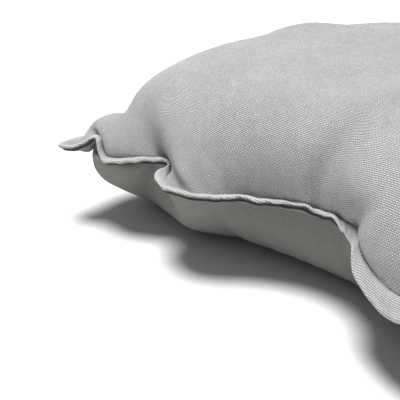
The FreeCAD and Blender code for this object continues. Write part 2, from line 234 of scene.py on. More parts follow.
def springs(flat, scale, w, steps, stiffness):
    """Threads from points (i, j) to (i + di, j + dj): slices, rest lengths and shares of the correction."""
    ni, nj = w.shape[1:3]
    groups = []
    every = slice(None)
    for di, dj in steps:
        if di:
            j_a = slice(max(0, -dj), nj - max(0, dj))
            j_b = slice(max(0, dj), nj - max(0, -dj))
            pairs = [((every, a, j_a), (every, b, j_b)) for a, b in strided(ni, di)]
        else:
            pairs = [((every, every, a), (every, every, b)) for a, b in strided(nj, dj)]
        for a, b in pairs:
            d = (flat[b[1:]] - flat[a[1:]])[None] * (scale[a] + scale[b]) / 2
            rest = np.linalg.norm(d, axis=-1)[..., None].astype(np.float32)
            share = stiffness / (w[a] + w[b] + 1e-9)
            shares = ((share * w[end]).astype(np.float32) for end in (a, b))
            groups.append((a, b, rest, *shares))
    return groups


def project(x, groups, push_only=False):
    """Move the ends of each thread towards its rest length; push_only leaves threads that are too long."""
    for a, b, rest, share_a, share_b in groups:
        d = x[b] - x[a]
        length = np.sqrt(np.einsum("...k,...k->...", d, d))[..., None] + 1e-6
        c = 1 - rest / length
        if push_only:
            np.minimum(c, 0, out=c)
        d *= c
        x[a] += share_a * d
        x[b] -= share_b * d


def relax(x, flat, scale, target, rounds, pressure, bend, ramp):
    """Fill the two panels while the stitch line moves to its sewn place."""
    ni, nj = x.shape[1:3]
    pins = np.zeros((2, ni, nj), bool)
    pins[:, 0] = pins[:, -1] = pins[:, :, 0] = pins[:, :, -1] = True
    w = np.where(pins, 0.0, 1.0)[..., None].astype(np.float32)
    bending = springs(flat, scale, w, ((2, 0), (0, 2)), bend)
    shearing = springs(flat, scale, w, ((1, 1), (1, -1)), SHEAR)
    threads = springs(flat, scale, w, ((1, 0), (0, 1)), 1.0)
    cell = float(np.median(np.linalg.norm(np.diff(flat, axis=0), axis=-1)))
    sign = np.array([1.0, -1.0], np.float32)[:, None, None, None] * pressure / (4 * cell * cell)
    v, push, start = np.zeros_like(x), np.zeros_like(x), x.copy()
    for it in range(rounds):
        t = smoothstep(min(1.0, (it + 1) / (ramp * rounds)))
        if it % PUSH_EVERY == 0:
            gi = x[:, 2:, 1:-1] - x[:, :-2, 1:-1]
            gj = x[:, 1:-1, 2:] - x[:, 1:-1, :-2]
            push[:, 1:-1, 1:-1] = np.cross(gi, gj) * sign
            top = TOP_Z - TOP_FALL * ((x[0, ..., 0] / HALF_L) ** 2 + (x[0, ..., 1] / HALF_W) ** 2)
            push[0] *= np.clip((top - x[0, ..., 2]) / TOP_FADE, 0, 1)[..., None]
        v += push
        v *= DRAG * w
        before = x.copy()
        x += v
        x[pins] = start[pins] * (1 - t) + target[pins] * t
        project(x, bending, True)
        project(x, shearing)
        project(x, threads)
        np.maximum(x[..., 2], CLEARANCE, out=x[..., 2])
        v = x - before
    return x


def refined(x, f):
    """The same grid with f times as many cells, by linear interpolation."""
    for axis in (-3, -2):
        n = x.shape[axis]
        at = np.linspace(0, n - 1, (n - 1) * f + 1)
        low = np.minimum(at.astype(int), n - 2)
        shape = [1] * x.ndim
        shape[axis] = -1
        part = (at - low).reshape(shape).astype(x.dtype)
        x = np.take(x, low, axis) * (1 - part) + np.take(x, low + 1, axis) * part
    return x


def sewn_panels():
    """Upper and lower panel as two grids of points, in millimetres, and the flat cut that both start from."""
    ni, nj = CELLS[0] + 1, CELLS[1] + 1
    x = np.zeros((2, ni, nj, 3), np.float32)
    x[..., :2] = cut_panel(ni, nj)
    x[..., 2] = SEAM_Z
    dome = np.outer(np.sin(np.pi * np.linspace(0, 1, ni)), np.sin(np.pi * np.linspace(0, 1, nj)))
    noise = np.random.default_rng(7)
    for layer, sign in ((0, 1), (1, -1)):
        uneven = START_NOISE * noise.standard_normal((ni, nj)) * (dome > 1e-6)
        x[layer, ..., 2] += sign * START_DOME * dome + uneven
    for finer, rounds, pressure, bend, ramp in PASSES:
        x = refined(x, finer)
        flat = cut_panel(*x.shape[1:3])
        scale = np.stack([growth(flat, 0), growth(flat, 1)])
        x = relax(x, flat, scale, stitch_targets(*x.shape[1:3]), rounds, pressure, bend, ramp)
    return x, flat


def eased(x, flat, at_x, at_y, radius, rounds):
    """Round out the folds of a panel near a place, and leave the rows beside the stitch line."""
    ni, nj = x.shape[:2]
    far = ((flat[..., 0] - at_x) ** 2 + (flat[..., 1] - at_y) ** 2) / radius**2
    from_i, from_j = (np.minimum(np.arange(n), np.arange(n)[::-1]) for n in (ni, nj))
    rim = np.minimum(from_i[:, None], from_j)
    share = 0.5 * np.exp(-(far**2)) * np.clip((rim - 1) / CALM_RIM, 0, 1)
    share = share[1:-1, 1:-1, None].astype(x.dtype)
    for _ in range(rounds):
        middle = (x[2:, 1:-1] + x[:-2, 1:-1] + x[1:-1, 2:] + x[1:-1, :-2]) / 4
        x[1:-1, 1:-1] += share * (middle - x[1:-1, 1:-1])


# ---------------------------------------------------------------- mesh helpers
# Millimetres of cloth in one unit of the "cloth" map.
UV_MM = 100
# Sides of a round thread, and the points, length, gap and depth of the ends of a stitch.
TUBE_SIDES, STITCH_POINTS, STITCH, STITCH_GAP, STITCH_SINK = 6, 7, 2.5, 0.7, 0.22


def unit(v):
    """Vectors of length 1."""
    return v / (np.linalg.norm(v, axis=-1, keepdims=True) + 1e-12)


def run_along(points):
    """Distance of each point along a line of points."""
    return np.concatenate([[0], np.cumsum(np.linalg.norm(np.diff(points, axis=0), axis=1))])


def smoothed(a, sigma):
    """Rows of a, blurred along the first axis."""
    reach = int(3 * sigma) + 1
    k = np.exp(-0.5 * (np.arange(-reach, reach + 1) / sigma) ** 2)
    k /= k.sum()
    padded = np.pad(a, ((reach, reach), (0, 0)), mode="edge")
    return np.stack([np.convolve(padded[:, c], k, "valid") for c in range(a.shape[1])], 1)


def grid_index(shape):
    """Vertex numbers of a grid."""
    return np.arange(shape[0] * shape[1]).reshape(shape[:2])


def grid_faces(index, flip=False):
    """Quads of a grid of vertex numbers."""
    a, b, c, d = index[:-1, :-1], index[1:, :-1], index[1:, 1:], index[:-1, 1:]
    quads = np.stack([a, b, c, d], -1).reshape(-1, 4)
    return quads[:, ::-1] if flip else quads


def piece(name, points, faces, finish, body="pad", uv=None, wear_and_shade=None):
    """A mesh object from points in millimetres, riding on a body."""
    mesh = bpy.data.meshes.new(name)
    mesh.from_pydata((np.asarray(points, float) / 1000).tolist(), [], [list(map(int, f)) for f in faces])
    mesh.validate()
    mesh.shade_smooth()
    if uv is not None:
        loops = np.zeros(len(mesh.loops), np.int32)
        mesh.loops.foreach_get("vertex_index", loops)
        cloth = mesh.uv_layers.new(name="cloth").data
        cloth.foreach_set("uv", (np.asarray(uv)[loops] / UV_MM).ravel().astype(np.float32))
    if wear_and_shade is not None:
        wear_and_shade_value = mesh.attributes.new("wear_and_shade", "FLOAT", "POINT").data
        wear_and_shade_value.foreach_set("value", np.asarray(wear_and_shade, np.float32))
    mesh.materials.append(finish)
    made = bpy.data.objects.new(name, mesh)
    bpy.context.scene.collection.objects.link(made)
    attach(made, body)
    return made


def finish_mesh(made, thickness=0.0, levels=0):
    """Round a piece with a subdivision surface and give a sheet its thickness, both applied."""
    if levels:
        made.modifiers.new("round", "SUBSURF").levels = levels
        made.modifiers["round"].render_levels = levels
    if thickness:
        solid = made.modifiers.new("thick", "SOLIDIFY")
        solid.thickness = thickness / 1000
        solid.offset = -1
    graph = bpy.context.evaluated_depsgraph_get()
    shaped = bpy.data.meshes.new_from_object(made.evaluated_get(graph), depsgraph=graph)
    old = made.data
    made.modifiers.clear()
    made.data = shaped
    bpy.data.meshes.remove(old)
    made.data.shade_smooth()


def wrapped_faces(index):
    """Faces of a grid that closes round on itself, with a face over each end."""
    faces = [list(q) for q in grid_faces(np.hstack([index, index[:, :1]]))]
    return faces + [list(index[0]), list(index[-1][::-1])]


def tube(path, normal, radius):
    """Points and faces of a round thread along a path, closed at its ends; radius may vary along it."""
    t = unit(np.gradient(path, axis=0))
    side = unit(np.cross(t, normal))
    up = np.cross(side, t)
    angle = np.linspace(0, 2 * np.pi, TUBE_SIDES, endpoint=False)
    ring = np.cos(angle)[None, :, None] * side[:, None] + np.sin(angle)[None, :, None] * up[:, None]
    points = path[:, None] + ring * np.broadcast_to(radius, len(path))[:, None, None]
    return points.reshape(-1, 3), wrapped_faces(grid_index(points.shape))


def join(parts):
    """One set of points and faces from several."""
    points, faces, start = [], [], 0
    for p, f in parts:
        points.append(p)
        faces += [[k + start for k in q] for q in f]
        start += len(p)
    return np.vstack(points), faces


def stitches(path, normal, radius=0.24):
    """A row of separate stitches, each diving into the cloth at its ends."""
    s = run_along(path)

    def at(values, q):
        """Values at the distances q along the path."""
        return np.stack([np.interp(q, s, values[:, k]) for k in range(3)], 1)

    arch = np.sin(np.linspace(0, np.pi, STITCH_POINTS)) ** 0.6
    parts = []
    for start in np.arange(0.5, s[-1] - STITCH, STITCH + STITCH_GAP):
        q = np.linspace(start, start + STITCH, STITCH_POINTS)
        n = unit(at(normal, q))
        line = at(path, q) + n * ((radius + STITCH_SINK) * arch - STITCH_SINK)[:, None]
        parts.append(tube(line, n, radius * (0.55 + 0.45 * arch)))
    return join(parts)


# ---------------------------------------------------------------- materials
class Shader:
    """A node material, written as short calls. Each call returns the socket that carries its result."""

    def __init__(self, name, roughness, metallic=0.0, sheen=0.0, specular=0.3):
        self.material = bpy.data.materials.new(name)
        self.material.use_nodes = True
        self.tree = self.material.node_tree
        self.surface = self.tree.nodes["Principled BSDF"]
        self.surface.inputs["Roughness"].default_value = roughness
        self.surface.inputs["Metallic"].default_value = metallic
        self.surface.inputs["Specular IOR Level"].default_value = specular
        self.surface.inputs["Sheen Weight"].default_value = sheen
        self.surface.inputs["Sheen Roughness"].default_value = 0.6

    def set(self, socket, value):
        """Link a socket to another, or give it a value."""
        if isinstance(value, bpy.types.NodeSocket):
            self.tree.links.new(value, socket)
        elif hasattr(socket.default_value, "__len__") and len(socket.default_value) == 4 and len(value) == 3:
            socket.default_value = (*value, 1)
        else:
            socket.default_value = value

    def math(self, operation, *values, clamp=False):
        n = self.tree.nodes.new("ShaderNodeMath")
        n.operation, n.use_clamp = operation, clamp
        for socket, value in zip(n.inputs, values):
            self.set(socket, value)
        return n.outputs[0]

    def mix(self, factor, a, b):
        n = self.tree.nodes.new("ShaderNodeMix")
        n.data_type = "RGBA"
        self.set(n.inputs["Factor"], factor)
        self.set(n.inputs["A"], a)
        self.set(n.inputs["B"], b)
        return n.outputs["Result"]

    def noise(self, vector, scale, detail=2.0, roughness=0.5):
        n = self.tree.nodes.new("ShaderNodeTexNoise")
        self.set(n.inputs["Vector"], vector)
        n.inputs["Scale"].default_value = scale
        n.inputs["Detail"].default_value = detail
        n.inputs["Roughness"].default_value = roughness
        return n.outputs["Fac"]

    def place(self):
        """Place on the object, in metres."""
        return self.tree.nodes.new("ShaderNodeTexCoord").outputs["Object"]

    def split(self, vector):
        n = self.tree.nodes.new("ShaderNodeSeparateXYZ")
        self.set(n.inputs[0], vector)
        return n.outputs[0], n.outputs[1], n.outputs[2]

    def vector(self, x, y, z):
        n = self.tree.nodes.new("ShaderNodeCombineXYZ")
        for socket, value in zip(n.inputs, (x, y, z)):
            self.set(socket, value)
        return n.outputs[0]

    def bump(self, height, distance):
        n = self.tree.nodes.new("ShaderNodeBump")
        n.inputs["Distance"].default_value = distance
        n.inputs["Strength"].default_value = 1.0
        self.set(n.inputs["Height"], height)
        self.set(self.surface.inputs["Normal"], n.outputs["Normal"])

    def colour(self, value):
        """Set the base colour and return the finished material."""
        self.set(self.surface.inputs["Base Color"], value)
        return self.material


# Weave: noise scale and size, in threads, of the drift of the threads; sharpness of the crossings; height of
# the warp beside the weft; roundness of warp and weft along their run.
DRIFT_SCALE, DRIFT, CROSSING = 15.0, 1.9, 5.0
WARP_HEIGHT, WARP_ROUND, WEFT_ROUND = 0.66, 0.45, 0.25
# Slubs: how slowly a thread changes along its run, and their noise scale.
SLUB_RUN, SLUB_SCALE = 0.09, 1.7
# Painted shade of a thread from its height, darker in the low places between the threads, with its lowest
# value; noise scale and amount of the mottling.
HEIGHT_SHADE, HEIGHT_SHADE_LOW, CLOUD_SCALE, CLOUD = 0.95, 0.12, 3.5, 0.25
# Rubbed places: noise scale, amount and brightening. Painted shade where the value is negative: amount, and
# darkening.
RUB_SCALE, RUBBED, RUB_BRIGHT, PAINTED_SHADE_AMOUNT, PAINTED_SHADE_DARKENING = 30.0, 0.7, 1.25, 0.9, 0.25
# Loose fibres in the relief: noise scale and amount.
FIBRE_SCALE, FIBRE = 900.0, 0.25


def woven(name, light, dark, pitch, relief, slub=0.5, wear_and_shade=True):
    """Plain weave on the cloth's own flat coordinates, with slubs, mottling, rubbed edges and painted shade
    between the threads.

    The threads lie pitch apart and stand out by relief, in millimetres. The value of a point's wear-and-shade
    attribute rubs the cloth where it is positive, and where it is negative it darkens the cloth as painted
    shade.
    """
    s = Shader(name, 0.93, sheen=0.12, specular=0.2)
    uv = s.tree.nodes.new("ShaderNodeUVMap")
    uv.uv_map = "cloth"
    cloth = uv.outputs[0]
    u, v, _ = s.split(cloth)
    shift = s.math("MULTIPLY", s.math("SUBTRACT", s.noise(cloth, DRIFT_SCALE, 3.0), 0.5), DRIFT)
    a, b = (s.math("ADD", s.math("MULTIPLY", way, UV_MM / pitch), shift) for way in (u, v))
    wave_a, wave_b = (s.math("SINE", s.math("MULTIPLY", way, math.pi)) for way in (a, b))
    over = s.math("MULTIPLY_ADD", s.math("MULTIPLY", wave_a, wave_b), CROSSING, 0.5, clamp=True)
    under = s.math("SUBTRACT", 1.0, over)
    round_a, round_b = s.math("ABSOLUTE", wave_a), s.math("ABSOLUTE", wave_b)

    def on_top(warp, weft):
        """The value of the thread that lies on top."""
        return s.math("ADD", s.math("MULTIPLY", over, warp), s.math("MULTIPLY", under, weft))

    def slubs(number, run):
        """Thick and thin places along each thread."""
        along = s.vector(s.math("FLOOR", number), s.math("MULTIPLY", run, SLUB_RUN), 0.0)
        return s.noise(along, SLUB_SCALE, 2.0)

    warp = s.math("MULTIPLY", round_a, s.math("POWER", round_b, WARP_ROUND))
    weft = s.math("MULTIPLY", round_b, s.math("POWER", round_a, WEFT_ROUND))
    height = on_top(s.math("MULTIPLY", warp, WARP_HEIGHT), weft)
    uneven = s.math("SUBTRACT", on_top(slubs(a, b), slubs(b, a)), 0.5)
    # The low places between the threads are coloured darker: painted shade. Slubs and mottling are the cloth's
    # own tone.
    body = s.math("MULTIPLY_ADD", uneven, slub, s.math("MULTIPLY_ADD", height, HEIGHT_SHADE, HEIGHT_SHADE_LOW))
    cloud = s.noise(cloth, CLOUD_SCALE, 5.0, 0.6)
    body = s.math("MULTIPLY_ADD", s.math("SUBTRACT", cloud, 0.5), CLOUD, body, clamp=True)
    shade = s.mix(body, dark, light)
    if wear_and_shade:
        wear_and_shade_value = s.tree.nodes.new("ShaderNodeAttribute")
        wear_and_shade_value.attribute_name = "wear_and_shade"
        wear_and_shade_value = wear_and_shade_value.outputs["Fac"]
        patchy = s.math("MULTIPLY", wear_and_shade_value, s.noise(cloth, RUB_SCALE, 4.0, 0.7))
        rubbed = s.math("MULTIPLY", patchy, RUBBED, clamp=True)
        shade = s.mix(rubbed, shade, [min(1, RUB_BRIGHT * c) for c in light])
        # A negative value darkens the cloth: painted shade on the flange's rows hidden between its layers.
        painted_shade_share = s.math("MULTIPLY", wear_and_shade_value, -PAINTED_SHADE_AMOUNT, clamp=True)
        shade = s.mix(painted_shade_share, shade, [PAINTED_SHADE_DARKENING * c for c in dark])
    fibre = s.noise(cloth, FIBRE_SCALE, 2.0, 0.6)
    s.bump(s.math("MULTIPLY_ADD", fibre, FIBRE, height), relief / 1000)
    return s.colour(shade)


def spun(name, light, dark):
    """Sewing thread: fine twisted plies with a slight sheen, and painted shade in the grooves between the
    plies.
    """
    s = Shader(name, 0.75, sheen=0.2, specular=0.3)
    x, y, z = s.split(s.place())
    slant = s.math("ADD", s.math("ADD", x, y), s.math("MULTIPLY", z, 1.6))
    ply = s.math("SINE", s.math("MULTIPLY", slant, 9000))
    # Crests of the plies lighter and their grooves darker: painted shade.
    ply_shade = s.math("MULTIPLY_ADD", ply, 0.25, 0.3)
    tone = s.math("MULTIPLY_ADD", s.noise(s.place(), 400.0), 0.5, ply_shade, clamp=True)
    s.bump(ply, 0.00006)
    return s.colour(s.mix(tone, dark, light))


def fluff(name, light, dark, scale, relief):
    """Wadding or foam: an open, fine-grained surface with the given noise scale and relief in millimetres."""
    s = Shader(name, 0.98, specular=0.1)
    grain = s.noise(s.place(), scale, 6.0, 0.7)
    cloud = s.noise(s.place(), scale / 12, 3.0)
    s.bump(grain, relief / 1000)
    tone = s.math("MULTIPLY_ADD", grain, 0.7, s.math("MULTIPLY", cloud, 0.3), clamp=True)
    return s.colour(s.mix(tone, dark, light))


def metal(name, light, dark):
    """Die-cast zip metal: satin plating with fine draw marks, rubbed bright in patches."""
    s = Shader(name, 0.34, metallic=1.0, specular=0.5)
    x, y, z = s.split(s.place())
    drawn = s.noise(s.vector(s.math("MULTIPLY", x, 0.12), y, z), 5200.0, 3.0)
    patch = s.noise(s.place(), 260.0, 4.0, 0.65)
    rough = s.math("MULTIPLY_ADD", patch, 0.22, s.math("MULTIPLY_ADD", drawn, 0.12, 0.20))
    s.set(s.surface.inputs["Roughness"], rough)
    s.bump(drawn, 0.00002)
    return s.colour(s.mix(patch, dark, light))


def coil_plastic(name, light, dark):
    """Drawn nylon of the zip's coils."""
    s = Shader(name, 0.42, specular=0.45)
    grain = s.noise(s.place(), 1500.0, 3.0)
    s.bump(grain, 0.00002)
    return s.colour(s.mix(grain, dark, light))


canvas_upper = woven("canvas_upper", (0.75, 0.75, 0.755), (0.13, 0.13, 0.135), 0.74, 0.55)
# The lower panel is the same canvas as the upper, coloured much darker as painted shade of the underside.
canvas_lower = woven("canvas_lower", (0.265, 0.275, 0.255), (0.11, 0.115, 0.103), 0.74, 0.18)
lining = woven("lining", (0.82, 0.81, 0.77), (0.55, 0.54, 0.50), 0.45, 0.06, slub=0.2, wear_and_shade=False)
tape_cloth = woven("zip_tape", (0.30, 0.30, 0.30), (0.12, 0.12, 0.12), 0.55, 0.12, slub=0.25, wear_and_shade=False)
thread = spun("sewing_thread", (0.58, 0.58, 0.58), (0.30, 0.30, 0.30))
liner_thread = spun("liner_thread", (0.85, 0.84, 0.80), (0.60, 0.59, 0.55))
wadding = fluff("wadding", (0.93, 0.93, 0.91), (0.78, 0.78, 0.75), 900.0, 0.5)
foam = fluff("foam", (0.80, 0.76, 0.62), (0.60, 0.56, 0.42), 1400.0, 0.35)
nylon = coil_plastic("zip_coil", (0.34, 0.34, 0.34), (0.24, 0.24, 0.24))
zip_metal = metal("zip_metal", (0.63, 0.62, 0.60), (0.42, 0.41, 0.40))

# ---------------------------------------------------------------- covers with their stitched edge
# Tilt of the front flange in degrees at places along x, and how deeply the other sides' flange swings.
TILT = [
    (-215, 12), (-190, 20), (-150, 16), (-132, 18), (-110, 24), (-62, 24), (-56, 10), (-44, -24),
    (-14, -46), (18, -44), (50, -10), (70, 8), (100, 16), (140, -8), (180, -14), (215, 5),
]
OTHER_TILT = 6
# Puckers of the flange, as (size, wave length, phase), their share of the tilt, and the length of each end that
# they leave alone.
PUCKERS = ((0.9, 23.0, 0.4), (0.7, 13.7, 1.9), (0.45, 8.3, 4.0), (0.3, 5.9, 2.2))
PUCKER_SHARE, CALM_END = 0.15, 25
# How far out of the cloth's own direction the flange is turned: towards level, and less up or down.
TO_LEVEL, UP_SHARE = 1.2, 0.35
# The front reaches from the near side to this y. Its flange is wider round one x, by a share, over a length.
FRONT_Y, WIDE_X, WIDE_SHARE, WIDE_LENGTH = -60, -14, 0.35, 38
# The corners of the flange are wider by a share over a length, and its ends narrow down over a length.
CORNER_SHARE, CORNER_LENGTH, END_SHARE, END_LENGTH = 0.55, 3.2, 0.25, 10
# Blur of the seam's direction, of the flange's direction and of the front's two limits, in points of the seam.
SEAM_BLUR, OUT_BLUR, FRONT_BLUR = 2.0, 3.0, 6.0
# Unevenness of the flange's width, as (size, wave length, phase).
WIDTH_WAVES = ((0.25, 9.0, 0), (0.2, 4.3, 2))
# Widening of the cloth's map, so that the weave keeps its size on the stretched cut.
MAP_SCALE = 1.1

panels, flat = sewn_panels()
ni, nj = panels.shape[1:3]
for x, y, radius, rounds, layer in CALM:
    eased(panels[layer], flat, x, y, radius, rounds)
cloth_uv = flat * MAP_SCALE
back_x = panels[0, :, -1, 0]
gap = np.where(np.abs(back_x) <= FLANGE_GAP)[0]
first, last = gap[0], gap[-1]

# The flange runs from the zip's right end along the right, front and left side to the zip's left end.
loop = [(i, nj - 1) for i in range(last, ni - 1)]
loop += [(ni - 1, j) for j in range(nj - 1, 0, -1)]
loop += [(i, 0) for i in range(ni - 1, 0, -1)]
loop += [(0, j) for j in range(0, nj - 1)]
loop += [(i, nj - 1) for i in range(0, first + 1)]
li, lj = np.array(loop).T
seam = panels[:, li, lj].mean(0)
inside_i, inside_j = np.clip(li, 2, ni - 3), np.clip(lj, 2, nj - 3)
tangent = unit(np.gradient(smoothed(seam, SEAM_BLUR), axis=0))
level = unit(np.stack([-tangent[:, 1], tangent[:, 0], 0 * tangent[:, 0]], 1))
away = unit(seam - panels[0, inside_i, inside_j]) + unit(seam - panels[1, inside_i, inside_j])
out = unit(smoothed(unit(unit(away) + TO_LEVEL * level), OUT_BLUR))
travel = run_along(seam)
ends = np.minimum(travel, travel[-1] - travel)
pucker = sum(size * np.sin(2 * np.pi * travel / wave + phase) for size, wave, phase in PUCKERS)
swell = 0.5 + 0.5 * np.sin(travel / 61.0) * np.sin(travel / 37.0 + 1.0)
front = smoothed((seam[:, 1:2] < FRONT_Y).astype(float), FRONT_BLUR)[:, 0]
tilt = np.interp(seam[:, 0], *zip(*TILT)) * front + OTHER_TILT * (1 - front) * np.sin(travel / 33.0)
out = unit(out * [1, 1, 0] + UP_SHARE * out * [0, 0, 1])
lean = np.tan(np.radians(tilt)) + PUCKER_SHARE * pucker * (0.35 + 0.65 * swell)
lean = np.clip(ends / CALM_END, 0, 1) * lean
out = unit(out + lean[:, None] * np.array([0, 0, 1.0]))
rise = unit(np.cross(tangent, out))
corners = [k for k, (i, j) in enumerate(loop) if i in (0, ni - 1) and j in (0, nj - 1)]
width = np.full(len(seam), FLANGE)
for size, wave, phase in WIDTH_WAVES:
    width += size * np.sin(travel / wave + phase)
for k in corners:
    width *= 1 + CORNER_SHARE * np.exp(-(((travel - travel[k]) / CORNER_LENGTH) ** 2))
width *= 1 + WIDE_SHARE * front * np.exp(-(((seam[:, 0] - WIDE_X) / WIDE_LENGTH) ** 2))
width *= np.clip(END_SHARE + ends / END_LENGTH, END_SHARE, 1)

# Section of the flange's two layers from the stitch line out and back in, as (share of the width, height).
UPPER_ROLL = [
    (0.10, 0.96), (0.22, 1.44), (0.42, 1.70), (0.62, 1.74), (0.82, 1.66), (0.95, 1.36), (1.0, 0.92),
    (0.96, 0.44), (0.82, 0.24), (0.50, 0.12), (0.16, 0.06),
]
LOWER_ROLL = [
    (0.08, -0.60), (0.20, -0.78), (0.36, -0.84), (0.52, -0.82), (0.66, -0.74), (0.74, -0.58),
    (0.74, -0.40), (0.66, -0.28), (0.50, -0.20), (0.32, -0.14), (0.14, -0.06),
]
# First row of each roll that lies hidden between the layers.
HIDDEN_ROW = (7, 5)
# Half the distance between the two panels on the stitch line, and the crinkle of the flange.
APART, CRINKLE, CRINKLED_FROM = 0.5, 0.23, 0.3
# Rubbing of the flange's outer edge, of its flat part and of the zip's fold, and painted shade of the rows
# hidden between the layers.
EDGE_WEAR, FLAT_WEAR, FOLD_WEAR, HIDDEN_PAINTED_SHADE, EDGE_FROM = 0.7, 0.25, 0.6, -1.0, 0.8
# Folded edge beside the zip, from the edge inwards, for the open and the closed seam, as (distance in, height
# above the edge), and the length at each end over which the fold begins.
FOLD_OPEN = [(0.35, -0.35), (1.0, -0.42), (1.7, -0.1), (2.0, 0.8), (2.05, 3.0), (2.1, 6.0)]
FOLD_CLOSED = [(0.7, -0.2), (1.8, -0.35), (3.0, -0.42), (4.2, -0.45), (5.4, -0.48), (6.6, -0.48)]
FOLD_START = 3
# Thickness of the canvas.
CANVAS = 0.5

open_share = parting(back_x[gap])


def cover(name, layer, roll, finish, replaced):
    """A panel, its half of the flange and its folded edge at the zip, in one mesh."""
    sign = 1 - 2 * layer
    x = panels[layer].astype(float).copy()
    x[li, lj] += APART * sign * rise
    x[gap[1:-1], -1] += (1 - open_share[1:-1, None]) * APART * sign * np.array([0, 0, 1.0])
    index = grid_index(x.shape)
    points, uv, wear_and_shade = [x.reshape(-1, 3)], [cloth_uv.reshape(-1, 2)], [np.zeros(ni * nj)]
    count = ni * nj
    rows = [index[li, lj]]
    flat_out = unit(level[:, :2])
    reach = np.zeros(len(seam))
    before = seam + APART * sign * rise
    for k, (across, up) in enumerate(roll):
        crinkle = CRINKLE * across * (np.sin(travel / 0.93 + 2.2 * k) + np.sin(travel / 1.57 + 1.3 * k))
        height = up + crinkle * (abs(up) > CRINKLED_FROM) * sign
        now = seam + out * (across * width)[:, None] + rise * height[:, None]
        reach = reach + np.linalg.norm(now - before, axis=1)
        before = now
        points.append(now)
        uv.append(cloth_uv[li, lj] + flat_out * reach[:, None])
        shown = EDGE_WEAR if across >= EDGE_FROM else FLAT_WEAR
        # Rows hidden between the two layers get a negative value: painted shade.
        wear_and_shade.append(np.full(len(seam), HIDDEN_PAINTED_SHADE if k >= HIDDEN_ROW[layer] else shown))
        rows.append(np.arange(count, count + len(seam)))
        count += len(seam)
    faces = [grid_faces(index, flip=layer == 1), grid_faces(np.stack(rows), flip=layer == 1)]
    rows = [index[gap, -1]]
    edge = x[gap, -1]
    share = np.clip(np.abs(np.abs(back_x[gap]) - FLANGE_GAP) / FOLD_START, 0, 1)
    for k, (opened, shut) in enumerate(zip(FOLD_OPEN, FOLD_CLOSED)):
        inward, up = (open_share * opened[n] + (1 - open_share) * shut[n] for n in (0, 1))
        none = 0 * inward
        points.append(edge + np.stack([none, -inward * share, sign * up * share], 1))
        uv.append(cloth_uv[gap, -1] + np.stack([none, inward], 1))
        wear_and_shade.append(np.full(len(gap), FOLD_WEAR if k == 0 else 0.0))
        rows.append(np.arange(count, count + len(gap)))
        count += len(gap)
    faces.append(grid_faces(np.stack(rows), flip=layer == 0))
    made = piece(name, np.vstack(points), np.vstack(faces), finish,
                 uv=np.vstack(uv), wear_and_shade=np.concatenate(wear_and_shade))
    finish_mesh(made, thickness=CANVAS, levels=1)
    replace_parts(made, replaced)


cover("canvas_cover_upper", 0, UPPER_ROLL, canvas_upper, "upper_cover")
cover("canvas_cover_lower", 1, LOWER_ROLL, canvas_lower, "lower_cover")

# Distance of the stitch row from the seam, and stitches left out at each end, in points of the seam.
ROW_OUT, ROW_END = 0.9, 4
for name, up, sign, replaced in (
    ("flange_stitches_upper", 1.12, 1, "flange_needle_thread"),
    ("flange_stitches_lower", -0.80, -1, "flange_bobbin_thread"),
):
    path = seam + out * ROW_OUT + rise * up
    p, f = stitches(path[ROW_END:-ROW_END], sign * rise[ROW_END:-ROW_END])
    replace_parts(piece(name, p, f, thread), replaced)

# ---------------------------------------------------------------- zip
# Stitch rows beside the zip: distance from the folded edge, end short of the opening, and lift off the cloth.
ZIP_ROW, ZIP_ROW_END, ZIP_ROW_LIFT = 2.4, 2, 0.05
# Tape: points along and across, distance inside its CAD solid, hang of its far edge, where its ends turn in and
# how fast, and its thickness. The thick bead lies at a share of the width.
TAPE_CELLS, TAPE_SINK, TAPE_HANG, TAPE = (160, 9), 0.12, 0.25, 0.45
TAPE_TURN, TAPE_SLOPE, TAPE_TAIL = 142.5, 0.45, 8
BEAD, BEAD_AT, BEAD_WIDTH = 0.14, 0.08, 0.06
# Coil: length and steps of a turn, half its height and half its depth, its distance from the middle of its CAD
# solid, the wire's radius, and the free length at each end.
COIL_PITCH, COIL_STEPS, COIL_HIGH, COIL_DEEP, COIL_OFF, WIRE, COIL_END = 1.5, 14, 1.15, 0.66, 0.35, 0.21, 0.5

for layer, name, replaced in (
    (0, "zip_stitches_upper", "zip_thread_upper"), (1, "zip_stitches_lower", "zip_thread_lower"),
):
    inner = gap[np.abs(back_x[gap]) < ZIP_HALF - ZIP_ROW_END]
    column = panels[layer, inner, ::-1][:, :6]
    run = np.cumsum(np.linalg.norm(np.diff(column, axis=1), axis=-1), axis=1)
    part = np.clip((ZIP_ROW - run[:, 0]) / (run[:, 1] - run[:, 0]), 0, 1)[:, None]
    path = column[:, 1] * (1 - part) + column[:, 2] * part
    normal = unit(np.cross(unit(np.gradient(path, axis=0)), unit(column[:, 2] - column[:, 1])))
    normal *= np.sign(normal[:, 1:2])
    p, f = stitches(path + normal * ZIP_ROW_LIFT, normal)
    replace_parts(piece(name, p, f, thread), replaced)

for sign, name, replaced in (
    (1, "zip_band_upper", "zip_tape_upper"), (-1, "zip_band_lower", "zip_tape_lower"),
):
    low, high = (Vector(c) * 1000 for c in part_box(replaced))
    along = np.linspace(low.x, high.x, TAPE_CELLS[0])
    across = np.linspace(0, 1, TAPE_CELLS[1])
    u, v = np.meshgrid(along, across, indexing="ij")
    near, far = (low.z, high.z) if sign > 0 else (high.z, low.z)
    z = near + (far - near) * v
    sway = 0.12 * np.sin(u / 11.0) * v + 0.08 * np.sin(u / 4.7 + 1) * v
    bead = BEAD * np.exp(-(((v - BEAD_AT) / BEAD_WIDTH) ** 2))
    tail = TAPE_SLOPE * np.clip(np.abs(u) - TAPE_TURN, 0, TAPE_TAIL)
    y = high.y - TAPE_SINK - TAPE_HANG * v**2 - np.abs(sway) + bead - tail
    points = np.stack([u, y, z], -1).reshape(-1, 3)
    faces = grid_faces(grid_index(u.shape), flip=sign > 0)
    made = piece(name, points, faces, tape_cloth, uv=np.stack([u, z], -1).reshape(-1, 2))
    finish_mesh(made, thickness=TAPE, levels=1)
    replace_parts(made, replaced)

